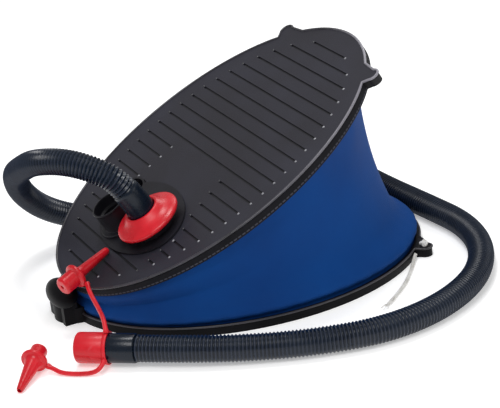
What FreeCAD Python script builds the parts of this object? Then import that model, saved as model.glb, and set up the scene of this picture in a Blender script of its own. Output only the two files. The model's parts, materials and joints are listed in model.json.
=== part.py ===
import FreeCAD, Part
import math
import os
import re
import Sketcher

# Foot air pump: a hinged pair of egg-shaped plates with a fabric bellows between them.
# Row frame, millimetres: origin at the middle of the base's underside, +X towards the
# wide raised end, -X towards the hinge, +Z up. The pump is stored open, as its spring holds it.

Vector = FreeCAD.Vector
doc = FreeCAD.newDocument("FootPump")
sheet = doc.addObject("Spreadsheet::Sheet", "Sizes")

SIZES = [
    ("plate_long", 285), ("plate_wide", 227),
    ("floor_thick", 3), ("base_rim", 7), ("base_wall", 3), ("nose_high", 12),
    ("pin_x", -149.4), ("pin_z", 19.7), ("pin_dia", 4), ("pin_run", 34), ("knuckle_dia", 11),
    ("lug_gap", 20), ("lug_thick", 6), ("open_angle", 28),
    ("top_high", 7.2), ("pedal_thick", 3), ("pedal_wall", 2.5), ("pedal_mid", 151.9),
    ("ear_width", 11), ("ear_run", 25.5),
    ("groove_count", 23), ("groove_first", 26.9), ("groove_pitch", 11.25),
    ("groove_wide", 1.7), ("groove_deep", 0.9), ("groove_long", 258), ("groove_across", 191),
    ("pip_dia", 2.2), ("skin_thick", 1.2),
    ("panel_long", 66), ("panel_wide", 104), ("panel_thick", 1.3), ("gasket_thick", 0.5),
    ("port_bore", 26), ("port_tube", 34), ("tube_bore", 20), ("tube_dia", 26), ("well_dia", 27),
    ("disc_thick", 2), ("collar_dia", 51), ("cuff_dia", 21.5), ("hose_dia", 20), ("hose_bore", 16),
    ("connector_dia", 22.5), ("connector_long", 21.5), ("tip_hole", 3),
    ("tether_dia", 3.2), ("cord_dia", 3),
    ("coil_dia", 54), ("wire_dia", 3),
]
for row, (alias, number) in enumerate(SIZES, start=1):
    sheet.set("A%d" % row, alias)
    sheet.set("B%d" % row, str(number))
    sheet.setAlias("B%d" % row, alias)
doc.recompute()


def bound(text):
    """Turn a formula in size names into one that reads the sheet."""
    return re.sub(r"[a-z][a-z_]+", lambda word: "Sizes." + word.group(0), text)


def size(text):
    return float(sheet.evalExpression(bound(text)))


def turned(x, y, z, axis=Vector(0, 0, 1), angle=0):
    return FreeCAD.Placement(Vector(x, y, z), FreeCAD.Rotation(axis, angle))


PEDAL = turned(size("pin_x"), 0, size("pin_z"), Vector(0, 1, 0), -size("open_angle"))
ROW = FreeCAD.Placement()

# Port centres on the pedal, measured from the hinge pin's axis along and across the plate.
EAR_HOLE = (120.2, -70.5)
INFLATE = (82.4, -31)
DEFLATE = (68.9, 6)
WELL = (90.5, 37.5)
PANEL = (81.5, -8)
COIL_X = 150


def plain(kind, name, sizes, place):
    """A primitive whose sizes follow the sheet."""
    item = doc.addObject(kind, name)
    for field, text in sizes.items():
        item.setExpression(field, bound(text))
    item.Placement = place
    return item


def cylinder(name, radius, height, place):
    return plain("Part::Cylinder", name, {"Radius": radius, "Height": height}, place)


def block(name, long, wide, high, place):
    return plain("Part::Box", name, {"Length": long, "Width": wide, "Height": high}, place)


def egg(name, inset, height, x, z):
    """An upright prism on the plate's outline, drawn in by the inset."""
    sizes = {"MajorRadius": "plate_long / 2 - (%s)" % inset}
    sizes["MinorRadius"] = "plate_wide / 2 - (%s)" % inset
    outline = plain("Part::Ellipse", name + "_outline", sizes, turned(x, 0, z))
    prism = doc.addObject("Part::Extrusion", name)
    prism.Base = outline
    prism.DirMode = "Custom"
    prism.Dir = Vector(0, 0, 1)
    prism.Solid = True
    prism.setExpression("LengthFwd", bound(height))
    return prism


def fused(name, pieces):
    item = doc.addObject("Part::MultiFuse", name)
    item.Shapes = pieces
    return item


def cut(name, base, tools):
    item = doc.addObject("Part::Cut", name)
    item.Base = base
    item.Tool = tools[0] if len(tools) == 1 else fused(name + "_tools", tools)
    return item


def turned_body(name, profile, place):
    """A body turned about its own Z from corner points given as radius and height."""
    body = doc.addObject("PartDesign::Body", name)
    planes = {plane.Role: plane for plane in body.Origin.OriginFeatures}
    sketch = body.newObject("Sketcher::SketchObject", name + "_profile")
    sketch.AttachmentSupport = (planes["XZ_Plane"], [""])
    sketch.MapMode = "FlatFace"
    corners = [Vector(size(radius), size(height), 0) for radius, height in profile]
    for index, corner in enumerate(corners):
        sketch.addGeometry(Part.LineSegment(corner, corners[(index + 1) % len(corners)]))
    for index in range(len(corners)):
        after = (index + 1) % len(corners)
        sketch.addConstraint(Sketcher.Constraint("Coincident", index, 2, after, 1))
    for index, (radius, height) in enumerate(profile):
        for way, text in (("DistanceX", radius), ("DistanceY", height)):
            row = sketch.addConstraint(Sketcher.Constraint(way, index, 1, size(text)))
            sketch.setExpression("Constraints[%d]" % row, bound(text))
    turn = body.newObject("PartDesign::Revolution", name + "_turn")
    turn.Profile = sketch
    turn.ReferenceAxis = (sketch, ["V_Axis"])
    turn.Angle = 360
    body.Tip = turn
    body.Placement = place
    return body


def named(item, label, place=None):
    """Give a finished sub-part its name and its place in the row."""
    item.Label = label
    if place is not None:
        item.Placement = place
    kept.append(item)
    return item


def ears(name, x, z, height):
    """The two rounded lobes beside the wide end, where the storage cord hooks on."""
    lobes = []
    for side in (1, -1):
        foot = Vector(x + 106, side * 50, z)
        way = Vector(0.57, side * 0.82, 0)
        far = Vector(0.82, side * -0.57, 0)
        run = size("ear_run")
        half = size("ear_width") / 2
        web = doc.addObject("Part::Polygon", "%s_web%d" % (name, side + 1))
        web.Nodes = [foot + way * along + far * beside for along, beside in (
            (8, -9.5), (14, -9), (run, -half), (run, half), (12, 17), (8, 18))]
        web.Close = True
        arm = doc.addObject("Part::Extrusion", "%s_arm%d" % (name, side + 1))
        arm.Base = web
        arm.DirMode = "Custom"
        arm.Dir = Vector(0, 0, 1)
        arm.Solid = True
        arm.setExpression("LengthFwd", bound(height))
        tip = foot + way * run
        lobes += [arm, cylinder("%s_tip%d" % (name, side + 1), "ear_width / 2", height,
                                turned(tip.x, tip.y, z))]
    return lobes


ALONG_Y = FreeCAD.Rotation(Vector(1, 0, 0), -90)


def across(name, radius, length, x, y, z):
    """A cylinder lying along +Y from the given point."""
    return cylinder(name, radius, length, FreeCAD.Placement(Vector(x, y, z), ALONG_Y))


kept = []


# --- base: shallow tray, hinge lugs, nose and ears -----------------------------------------

def make_base():
    pin_x = size("pin_x")
    pin_z = size("pin_z")
    half_gap = size("lug_gap") / 2
    thick = size("lug_thick")
    solid = [egg("tray", "0", "base_rim", 0, 0)]
    solid += ears("base_ear", 0, 0, "base_rim")
    solid.append(cylinder("nose", "17.5", "nose_high", turned(-139.5, 0, 0)))
    for side, start in ((1, half_gap), (-1, -half_gap - thick)):
        solid.append(block("lug%d" % (side + 1), "knuckle_dia", "lug_thick", "pin_z",
                           turned(pin_x - size("knuckle_dia") / 2, start, 0)))
        solid.append(across("lug_top%d" % (side + 1), "knuckle_dia / 2", "lug_thick",
                            pin_x, start, pin_z))
    hollow = [egg("tray_hollow", "base_wall", "40", 0, size("floor_thick"))]
    hollow.append(across("lug_hole", "pin_dia / 2", "60", pin_x, -30, pin_z))
    hollow.append(cylinder("ear_hole", "2.2", "40", turned(*EAR_HOLE, -5)))
    base = named(cut("base_tray", fused("base_solid", solid), hollow), "base_plate")
    ring = cut("base_ring", egg("ring_out", "7", "3", 0, size("floor_thick")),
               [egg("ring_in", "13", "20", 0, 0)])
    named(ring, "base_clamp_ring")
    named(across("pin", "pin_dia / 2", "pin_run", pin_x, -size("pin_run") / 2, pin_z), "hinge_pin")
    seat = [("coil_dia / 2 - 7", "0"), ("coil_dia / 2 - 3", "0"), ("coil_dia / 2 - 3", "3.5"),
            ("coil_dia / 2 - 7", "3.5")]
    named(turned_body("lower_seat", seat, turned(pin_x + COIL_X, 0, size("floor_thick"))),
          "base_spring_seat")
    return base


# --- pedal: grooved egg-shaped tread with a downturned rim ---------------------------------

def groove_ends():
    """Each groove as its distance from the pin and its runs across the plate."""
    runs = []
    middle = size("pedal_mid") - 2
    for index in range(int(size("groove_count"))):
        x = size("groove_first") + size("groove_pitch") * index
        reach = 1 - ((x - middle) / (size("groove_long") / 2)) ** 2
        edge = size("groove_across") / 2 * math.sqrt(max(reach, 0.02))
        spread = max(1 - ((x - PANEL[0]) / size("panel_long / 2")) ** 2, 0)
        clear = size("panel_wide / 2") * math.sqrt(spread) + 5
        near = min(-62 + 0.3 * max(x - 75, 0), PANEL[1] - clear)
        far = max(50 - 0.5 * max(100 - x, 0), PANEL[1] + clear)
        smooth = 50 < x < 146 and edge > 62
        runs.append((x, [(-edge, near), (far, edge)] if smooth else [(-edge, edge)]))
    return runs


def make_pedal():
    mid = size("pedal_mid")
    top = size("top_high")
    solid = [egg("tread", "0", "top_high", mid, 0)]
    solid += ears("pedal_ear", mid, 0, "top_high")
    solid.append(cylinder("lobe", "lug_gap / 2 - 0.9", "top_high - 2", turned(3.5, 0, 2)))
    solid.append(across("knuckle", "knuckle_dia / 2", "lug_gap - 1", 0,
                        -size("lug_gap") / 2 + 0.5, 0))
    tools = [egg("tread_hollow", "pedal_wall", "top_high - pedal_thick + 20", mid, -20)]
    tools.append(across("knuckle_hole", "pin_dia / 2 + 0.06", "60", 0, -30, 0))
    for name, centre, radius in (("inflate", INFLATE, "port_tube / 2 + 0.4"),
                                 ("deflate", DEFLATE, "tube_dia / 2 + 0.4"),
                                 ("well", WELL, "well_dia / 2 + 1.9")):
        tools.append(cylinder("pedal_" + name, radius, "20", turned(centre[0], centre[1], 0)))
    for index, (x, y) in enumerate(SCREWS):
        tools.append(cylinder("pedal_screw%d" % index, "1.7", "20", turned(x, y, 0)))
    wide = size("groove_wide")
    for index, (x, runs) in enumerate(groove_ends()):
        for part, (start, end) in enumerate(runs):
            tools.append(block("groove%d_%d" % (index, part), "groove_wide", str(end - start),
                               "10", turned(x - wide / 2, start, top - size("groove_deep"))))
    plate = cut("tread_cut", fused("tread_solid", solid), tools)
    named(plate, "pedal_plate", PEDAL)
    pips = []
    for x, runs in groove_ends():
        for start, end in runs:
            for y in (start - 1.6, end + 1.6):
                pips.append(Part.makeSphere(size("pip_dia / 2"), Vector(x, y, top - 0.5)))
    lid = Part.makeBox(400, 400, 10, Vector(-50, -200, top))
    studs = doc.addObject("Part::Feature", "pips")
    studs.Shape = Part.makeCompound([pip.common(lid) for pip in pips])
    named(studs, "groove_pips", PEDAL)
    ring = cut("pedal_ring", egg("top_ring_out", "10.5", "3", mid, top - size("pedal_thick") - 3),
               [egg("top_ring_in", "16", "40", mid, -20)])
    named(ring, "pedal_clamp_ring", PEDAL)
    seat = [("coil_dia / 2 - 7", "-3.5"), ("coil_dia / 2 - 3", "-3.5"), ("coil_dia / 2 - 3", "0"),
            ("coil_dia / 2 - 7", "0")]
    under = turned(COIL_X, 0, top - size("pedal_thick"))
    named(turned_body("upper_seat", seat, PEDAL.multiply(under)), "pedal_spring_seat")


# --- bellows and spring, both at their open shape ------------------------------------------

def bellows_loft(name, inset):
    lower = {"MajorRadius": "plate_long / 2 - 4 - (%s)" % inset}
    lower["MinorRadius"] = "plate_wide / 2 - 4 - (%s)" % inset
    upper = {"MajorRadius": "plate_long / 2 - 7.5 - (%s)" % inset}
    upper["MinorRadius"] = "plate_wide / 2 - 7.5 - (%s)" % inset
    height = size("top_high - pedal_thick") - 0.4
    floor = turned(0, 0, size("floor_thick"))
    lift = PEDAL.multiply(turned(size("pedal_mid"), 0, height))
    loft = doc.addObject("Part::Loft", name)
    loft.Sections = [plain("Part::Ellipse", name + "_low", lower, floor),
                     plain("Part::Ellipse", name + "_high", upper, lift)]
    loft.Solid = True
    loft.Ruled = True
    return loft


def make_bellows():
    skin = cut("skin", bellows_loft("skin_out", "0"), [bellows_loft("skin_in", "skin_thick")])
    named(skin, "bellows_skin")


def spring_point(turn, turns):
    """A point on the coil, carried from the base's circle over to the pedal's."""
    radius = size("coil_dia / 2")
    flat = 0.7
    lift = min(max((turn - flat) / (turns - 2 * flat), 0), 1)
    angle = 2 * math.pi * turn
    low = Vector(size("pin_x") + COIL_X + radius * math.cos(angle), radius * math.sin(angle),
                 size("floor_thick + wire_dia / 2") + 0.1 + turn / turns)
    high = PEDAL.multVec(Vector(COIL_X + radius * math.cos(angle), radius * math.sin(angle),
                                size("top_high - pedal_thick - wire_dia / 2") - 1.4
                                + turn / turns))
    return low * (1 - lift) + high * lift


def make_spring():
    turns = 6
    points = [spring_point(step / 14, turns) for step in range(14 * turns + 1)]
    curve = Part.BSplineCurve()
    curve.interpolate(points)
    wire = Part.Wire([curve.toShape()])
    way = curve.tangent(curve.FirstParameter)[0]
    section = Part.Wire([Part.makeCircle(size("wire_dia / 2"), points[0], way)])
    coil = doc.addObject("Part::Feature", "coil")
    coil.Shape = wire.makePipeShell([section], True, True)
    named(coil, "coil_spring", ROW)


# --- ports, valves and hose plug, all square to the pedal ----------------------------------

SCREWS = [(84, -54), (108.5, -12), (58, 22), (56, -20)]


def on_pedal(centre, height=0):
    return PEDAL.multiply(turned(centre[0], centre[1], height))


def panel(name, inset, thick, z):
    """An oval plate around the ports, longer across the pedal than along it."""
    sizes = {"MajorRadius": "panel_wide / 2 - (%s)" % inset}
    sizes["MinorRadius"] = "panel_long / 2 - (%s)" % inset
    place = turned(PANEL[0], PANEL[1], z, Vector(0, 0, 1), 90)
    prism = doc.addObject("Part::Extrusion", name)
    prism.Base = plain("Part::Ellipse", name + "_outline", sizes, place)
    prism.DirMode = "Custom"
    prism.Dir = Vector(0, 0, 1)
    prism.Solid = True
    prism.setExpression("LengthFwd", bound(thick))
    return prism


def make_ports():
    top = size("top_high")
    face = top + size("gasket_thick")
    solid = [panel("panel", "0", "panel_thick", face)]
    solid.append(cylinder("inflate_tube", "port_tube / 2", "22.6", turned(*INFLATE, -7)))
    solid.append(cylinder("well_cup", "well_dia / 2 + 1.5", "14.3", turned(*WELL, face - 13)))
    tools = [cylinder("inflate_bore", "port_bore / 2", "30", turned(*INFLATE, -2))]
    tools.append(cylinder("inflate_under", "port_bore / 2", "8", turned(*INFLATE, -12)))
    tools.append(cylinder("inflate_seat", "7", "30", turned(*INFLATE, -12)))
    tools.append(cylinder("deflate_hole", "tube_dia / 2 + 0.05", "40", turned(*DEFLATE, -12)))
    tools.append(cylinder("well_bore", "well_dia / 2", "30", turned(*WELL, face - 11.5)))
    for index, (x, y) in enumerate(SCREWS):
        tools.append(cylinder("panel_screw%d" % index, "1.5", "1.2", turned(x, y, face - 0.2)))
    named(cut("ports", fused("ports_solid", solid), tools), "port_plate", PEDAL)
    holes = [cylinder("gasket_inflate", "port_tube / 2", "9", turned(*INFLATE, top - 2)),
             cylinder("gasket_deflate", "tube_dia / 2 + 0.05", "9", turned(*DEFLATE, top - 2)),
             cylinder("gasket_well", "well_dia / 2 + 1.5", "9", turned(*WELL, top - 2))]
    for index, (x, y) in enumerate(SCREWS):
        holes.append(cylinder("gasket_screw%d" % index, "1.5", "9", turned(x, y, top - 2)))
    named(cut("gasket", panel("gasket_sheet", "1.5", "gasket_thick", top), holes),
          "port_gasket", PEDAL)
    screws = []
    under = top - size("pedal_thick")
    for index, (x, y) in enumerate(SCREWS):
        screws.append(cylinder("shank%d" % index, "1.5", "4.4", turned(x, y, under)))
        screws.append(cylinder("head%d" % index, "2.8", "2", turned(x, y, under - 2)))
    named(fused("screws", screws), "port_screws", PEDAL)


def make_deflate_tube():
    """The open tube that draws air in, with a stepped foot on the port plate."""
    foot = size("top_high + gasket_thick + panel_thick")
    outer = "tube_dia / 2"
    bore = "tube_bore / 2"
    tube = [(bore, "-10"), (outer, "-10"), (outer, str(foot)), (outer + " + 4", str(foot)),
            (outer + " + 4", str(foot + 1.4)), (outer + " + 3.3", str(foot + 2.1)),
            (outer, str(foot + 2.1)), (outer, "28"), (outer + " - 0.7", "28.7"), (bore, "28.7"),
            (bore, "1"), ("6.5", "1"), ("6.5", "-1"), (bore, "-1")]
    named(turned_body("deflate", tube, on_pedal(DEFLATE)), "deflate_tube")


def make_valve(name, centre, disc_at, cage_at, radius, cage_radius):
    """A loose rubber disc and the barred ring that keeps it near its seat."""
    disc = [("0", "0"), (radius, "0"), (radius, "disc_thick"), ("0", "disc_thick")]
    named(turned_body(name + "_disc_body", disc, on_pedal(centre, disc_at)), name + "_disc")
    across_bar = size(cage_radius) * 2 - 2
    ring = cut(name + "_ring", cylinder(name + "_out", cage_radius, "2", ROW),
               [cylinder(name + "_in", cage_radius + " - 2.2", "6", turned(0, 0, -1))])
    bars = [block(name + "_bar1", str(across_bar), "2", "2", turned(-across_bar / 2, -1, 0)),
            block(name + "_bar2", "2", str(across_bar), "2", turned(-1, -across_bar / 2, 0))]
    named(fused(name + "_cage_fuse", [ring] + bars), name + "_cage", on_pedal(centre, cage_at))


def make_plug():
    """The soft collar that pushes into the inflating port, and the sleeve in its socket."""
    outer = "port_bore / 2 - 0.05"
    rim = "collar_dia / 2"
    socket = "cuff_dia / 2 + 0.05"
    collar = [("8.5", "6.4"), (outer, "6.4"), (outer, "15.8"), (rim + " - 1", "15.8"),
              (rim, "16.8"), (rim, "18.4"), (rim + " - 1", "19.6"), (rim + " - 5", "21.4"),
              ("17", "24.2"), ("13.4", "27.2"), (socket, "27.2"), (socket, "19"),
              ("8.5", "19")]
    named(turned_body("collar", collar, on_pedal(INFLATE)), "hose_plug")
    cuff = [("hose_bore / 2", "19"), ("cuff_dia / 2", "19"), ("cuff_dia / 2", "32.4"),
            ("cuff_dia / 2 - 0.6", "33.2"), ("hose_bore / 2", "33.2")]
    named(turned_body("pump_cuff", cuff, on_pedal(INFLATE)), "hose_cuff_pump_end")


# --- hose, cords and tethers: straight runs joined by tangent arcs --------------------------

HOSE_START = on_pedal(INFLATE).multVec(Vector(0, 0, 33.5))
HOSE_SECOND = on_pedal(INFLATE).multVec(Vector(0, 0, 47.2))
HOSE_ROUTE = [
    tuple(HOSE_START), tuple(HOSE_SECOND), (-111, -26, 114), (-130, -8, 122.5),
    (-145, 22, 118.5), (-142, 57, 101.5), (-143, 90, 86), (-136, 114, 61), (-114, 127, 36),
    (-80, 130, 18), (-34, 140, 10.3), (20, 143, 10.3), (72, 136, 10.3), (113, 121, 10.3),
    (148, 92, 10.3), (151, 43, 10.3), (158, -12, 10.3),
    (163, -61, 10.3), (150, -109, 10.3), (119, -151, 10.3), (74, -178, 10.3),
    (24, -186, 10.3), (-25, -173, 10.3), (-68.5, -152.5, 10.8), (-106.3, -129.5, 12.3),
    (-133.4, -107.4, 12.3),
]
HOSE_END = Vector(-133.4, -107.4, 12.3)
END_WAY = Vector(-0.775, 0.632, 0)
END_WAY.normalize()


def corner_arcs(route):
    """The route's corners, each with the radius of the arc that rounds it."""
    corners = []
    points = [Vector(*point) for point in route]
    for before, here, after in zip(points, points[1:], points[2:]):
        turn = (here - before).getAngle(after - here)
        reach = 0.45 * min((here - before).Length, (after - here).Length)
        corners.append((before, here, after, turn, reach))
    return corners


def cord_path(route):
    edges = []
    last = Vector(*route[0])
    for before, here, after, turn, reach in corner_arcs(route):
        back = (before - here).normalize()
        onward = (after - here).normalize()
        start = here + back * reach
        end = here + onward * reach
        radius = reach / math.tan(turn / 2)
        inward = (back + onward).normalize()
        middle = here + inward * (radius / math.cos(turn / 2) - radius)
        edges.append(Part.LineSegment(last, start).toShape())
        edges.append(Part.Arc(start, middle, end).toShape())
        last = end
    edges.append(Part.LineSegment(last, Vector(*route[-1])).toShape())
    return Part.Wire(edges)


def cord(label, route, diameter):
    """A plain round tube along the route, with its length and bend radii printed."""
    path = cord_path(route)
    first = Vector(*route[0])
    way = Vector(*route[1]) - first
    section = Part.Wire([Part.makeCircle(diameter / 2, first, way)])
    item = doc.addObject("Part::Feature", label + "_tube")
    item.Shape = path.makePipeShell([section], True, False)
    named(item, label, ROW)
    radii = [reach / math.tan(turn / 2) for _, _, _, turn, reach in corner_arcs(route)]
    expected = math.pi * diameter ** 2 / 4 * path.Length
    print("%s length %.0f, volume / expected %.4f, radii %s" % (
        label, path.Length, item.Shape.Volume / expected, [round(radius) for radius in radii]))


# --- free end: sleeve, connector, tether ring, tethers and two nozzles ----------------------

def lying(start, way):
    """A place whose Z axis runs along the given direction."""
    return FreeCAD.Placement(start, FreeCAD.Rotation(Vector(0, 0, 1), way))


def nozzle(label, place, plug_r, plug_run, flange_r, tube_r, tip_r, tube_run):
    """A hollow tapered tip with a flange and a plug that fits the connector."""
    hole = "tip_hole / 2"
    flange = plug_run + 3
    profile = [(hole, "0"), (str(plug_r - 1), "0"), (str(plug_r), "1.5"),
               (str(plug_r), str(plug_run)), (str(flange_r - 0.6), str(plug_run)),
               (str(flange_r), str(plug_run + 0.8)), (str(flange_r), str(flange - 0.8)),
               (str(flange_r - 0.6), str(flange)), (str(tube_r + 1.6), str(flange)),
               (str(tube_r), str(flange + 3)), (str(tip_r), str(flange + tube_run - 1)),
               (str(tip_r - 0.6), str(flange + tube_run)), (hole, str(flange + tube_run))]
    named(turned_body(label + "_body", profile, place), label)


UPPER_TETHER = [(-149.8, -94, 24.4), (-149.4, -93, 29), (-147.4, -84.5, 31.8),
                (-145.4, -72, 32.8), (-143.6, -58, 34), (-142.2, -45.5, 36),
                (-139.6, -34.5, 37.3)]
LOWER_TETHER = [(-157, -102.8, 8.15), (-160.1, -106.5, 6.4), (-166, -106, 2.6),
                (-176, -99.5, 1.9), (-185.5, -91, 2.2), (-188.8, -84.5, 3.8),
                (-191.8, -80, 5.3)]
CLOSURE_CORD = [(110.4, -73.6, 4), (105.8, -79.5, 2.6), (97, -91.3, 1.8), (84, -107.5, 1.8),
                (67.5, -123.5, 1.8), (54, -134, 1.8)]


def make_free_end():
    start = HOSE_END
    cuff = [("hose_bore / 2", "0"), ("cuff_dia / 2 - 0.5", "0"), ("cuff_dia / 2 - 0.1", "1"),
            ("cuff_dia / 2 - 0.1", "26"), ("hose_bore / 2", "26")]
    named(turned_body("end_cuff", cuff, lying(start, END_WAY)), "hose_cuff_nozzle_end")
    ring_at = start + END_WAY * 19.9
    ring = [("cuff_dia / 2", "0"), ("connector_dia / 2 + 0.9", "0"),
            ("connector_dia / 2 + 0.9", "2.6"), ("cuff_dia / 2", "2.6")]
    named(turned_body("ring", ring, lying(ring_at, END_WAY)), "tether_ring")
    joint = start + END_WAY * 22.7
    outer = "connector_dia / 2"
    body = [("7", "3.4"), ("cuff_dia / 2", "3.4"), ("cuff_dia / 2", "0"), (outer + " - 0.4", "0"),
            (outer, "0.8"), (outer, "connector_long - 1.2"), (outer + " - 1.2", "connector_long"),
            ("7", "connector_long")]
    named(turned_body("connector", body, lying(joint, END_WAY)), "nozzle_connector")


def make_cords():
    cord("hose", HOSE_ROUTE, size("hose_dia"))
    cord("upper_tether", UPPER_TETHER, size("tether_dia"))
    cord("lower_tether", LOWER_TETHER, size("tether_dia"))
    cord("closure_cord", CLOSURE_CORD, size("cord_dia"))
    knot = [("0", "0.4"), ("2.1", "0.4"), ("2.1", "base_rim"), ("3.4", "base_rim + 0.6"),
            ("3.8", "base_rim + 2.4"), ("2.6", "base_rim + 4.4"), ("0", "base_rim + 5")]
    named(turned_body("knot", knot, turned(*EAR_HOLE, 0)), "cord_knot")


def make_nozzles():
    """One tip rests on the pedal beside the hinge, the other lies on the floor."""
    long_way = Vector(0.917, 0.328, -0.2).normalize()
    long_place = lying(Vector(15, -25.3, 17) - long_way * 14.5, long_way)
    nozzle("long_nozzle", PEDAL.multiply(long_place), 6.8, 13, 9.5, 4.0, 2.6, 32)
    short_way = Vector(-0.638, -0.735, -0.232).normalize()
    short_place = lying(Vector(-199.3, -75, 9.9) - short_way * 12.5, short_way)
    nozzle("short_nozzle", short_place, 6.2, 11, 9.7, 5.4, 2.2, 31)


make_base()
make_pedal()
make_bellows()
make_spring()
make_ports()
make_deflate_tube()
make_valve("outlet_valve", INFLATE, -1.7, 4.1, "10.5", "port_bore / 2 - 0.05")
make_valve("inlet_valve", DEFLATE, -3.3, -10, "8.6", "tube_bore / 2 - 0.05")
make_plug()
make_cords()
make_free_end()
make_nozzles()

doc.recompute()
faults = [item.Name for item in doc.Objects if {"Invalid", "Error"} & set(item.State)]
for item in kept:
    if item.Shape.isNull() or not item.Shape.isValid():
        faults.append(item.Label)
if faults:
    raise RuntimeError("failed objects: %s" % faults)
os.makedirs("parts", exist_ok=True)
for item in kept:
    item.Shape.exportStep("parts/%s.step" % item.Label)
    box = item.Shape.BoundBox
    print("%-22s volume %9.0f solids %d  x %.1f..%.1f y %.1f..%.1f z %.1f..%.1f" % (
        item.Label, item.Shape.Volume, len(item.Shape.Solids), box.XMin, box.XMax,
        box.YMin, box.YMax, box.ZMin, box.ZMax))
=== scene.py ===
import json
import math
import random
import bpy
from mathutils import Matrix, Vector, noise
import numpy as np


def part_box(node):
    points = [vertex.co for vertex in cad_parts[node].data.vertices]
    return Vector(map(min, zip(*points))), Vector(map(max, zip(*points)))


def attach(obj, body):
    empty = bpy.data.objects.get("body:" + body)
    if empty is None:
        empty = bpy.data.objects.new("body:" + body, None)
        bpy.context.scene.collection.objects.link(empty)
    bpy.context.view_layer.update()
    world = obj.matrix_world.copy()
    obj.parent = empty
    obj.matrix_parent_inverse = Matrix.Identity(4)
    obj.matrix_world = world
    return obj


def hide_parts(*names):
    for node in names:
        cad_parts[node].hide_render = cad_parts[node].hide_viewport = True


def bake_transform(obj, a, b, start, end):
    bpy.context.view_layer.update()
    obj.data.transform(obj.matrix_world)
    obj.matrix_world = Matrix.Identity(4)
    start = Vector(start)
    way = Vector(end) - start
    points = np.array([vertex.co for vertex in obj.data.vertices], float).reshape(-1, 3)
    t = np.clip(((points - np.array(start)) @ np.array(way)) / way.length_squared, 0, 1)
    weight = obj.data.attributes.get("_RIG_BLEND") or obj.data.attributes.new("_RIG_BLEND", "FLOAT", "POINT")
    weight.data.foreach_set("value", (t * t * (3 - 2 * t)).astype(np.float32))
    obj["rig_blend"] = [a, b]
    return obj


# Foot air pump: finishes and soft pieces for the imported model. Metres, in the model's own frame:
# +X to the wide raised end, the hinge at -X, the near side at -Y, +Z up.
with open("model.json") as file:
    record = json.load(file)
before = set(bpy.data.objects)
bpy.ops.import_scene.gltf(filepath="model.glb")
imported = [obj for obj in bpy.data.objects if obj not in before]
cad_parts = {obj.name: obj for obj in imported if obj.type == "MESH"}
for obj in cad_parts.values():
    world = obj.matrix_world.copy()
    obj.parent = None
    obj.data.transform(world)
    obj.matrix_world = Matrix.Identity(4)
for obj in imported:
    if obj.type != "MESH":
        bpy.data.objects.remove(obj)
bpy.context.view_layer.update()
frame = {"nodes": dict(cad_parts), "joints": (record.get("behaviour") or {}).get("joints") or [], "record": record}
nodes = frame["nodes"]
joints = {joint["name"]: joint for joint in frame["joints"]}
mounts = {mount["name"]: mount for mount in frame["record"]["mounts"]}
mm = 0.001

# The pedal's own directions: up is square to the tread, along runs from the hinge to the wide end.
hingeAt = Vector(joints["pedal_hinge"]["pos_m"])
pedalUp = Vector(joints["outlet_valve_lift"]["axis"]).normalized()
pedalAlong = Vector((pedalUp.z, 0, -pedalUp.x))


# A point in millimetres from the hinge pin: along, across and square to the pedal.
def onPedal(along, across, up):
    return hingeAt + mm * (pedalAlong * along + Vector((0, across, 0)) + pedalUp * up)


# Millimetres along, across and square to the pedal.
def pedalSpace(place):
    offset = (place - hingeAt) / mm
    return offset.dot(pedalAlong), offset.y, offset.dot(pedalUp)


def addObject(name, data):
    thing = bpy.data.objects.new(name, data)
    bpy.context.scene.collection.objects.link(thing)
    return thing


# Quads between rings of points, each ring closed on itself.
def ringFaces(rings, columns):
    return [(ring * columns + column, ring * columns + (column + 1) % columns,
             (ring + 1) * columns + (column + 1) % columns, (ring + 1) * columns + column)
            for ring in range(rings) for column in range(columns)]


def clearSelection():
    for thing in bpy.context.selected_objects:
        thing.select_set(False)


def pickOnly(piece):
    clearSelection()
    piece.select_set(True)
    bpy.context.view_layer.objects.active = piece


def applyModifier(piece, kind, **settings):
    pickOnly(piece)
    modifier = piece.modifiers.new(kind.title(), kind)
    for field, value in settings.items():
        setattr(modifier, field, value)
    bpy.ops.object.modifier_apply(modifier=modifier.name)


def softShade(piece, degrees=35):
    pickOnly(piece)
    bpy.ops.object.shade_smooth_by_angle(angle=math.radians(degrees))


# The material and body of a finished piece. A piece that bends over the hinge rides none.
def finishPiece(piece, body, slot, material, *replaced):
    piece.data.materials.clear()
    piece.data.materials.append(material)
    if body:
        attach(piece, body)
    if replaced:
        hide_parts(*replaced)
    return piece


# Camera first, then the floor and the lights.

cameraSet = {
    "place": (-0.5496, -1.3443, 0.6413),
    "azimuth": -22.6,
    "elevation": 22.14,
    "roll": -6.6,
    "lens": 147.3,
    "film": 36,
    "farthest": 20,
}


def makeCamera():
    azimuth, elevation, roll = (math.radians(cameraSet[key])
                                for key in ("azimuth", "elevation", "roll"))
    back = Vector((math.sin(azimuth) * math.cos(elevation),
                   -math.cos(azimuth) * math.cos(elevation), math.sin(elevation)))
    level = Vector((math.cos(azimuth), math.sin(azimuth), 0))
    upright = back.cross(level)
    side = level * math.cos(roll) + upright * math.sin(roll)
    top = upright * math.cos(roll) - level * math.sin(roll)
    lens = bpy.data.cameras.new("camera")
    lens.lens = cameraSet["lens"]
    lens.sensor_width = cameraSet["film"]
    lens.clip_end = cameraSet["farthest"]
    camera = addObject("camera", lens)
    turn = Matrix((side, top, back)).transposed().to_4x4()
    camera.matrix_world = Matrix.Translation(cameraSet["place"]) @ turn
    bpy.context.scene.camera = camera


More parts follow.
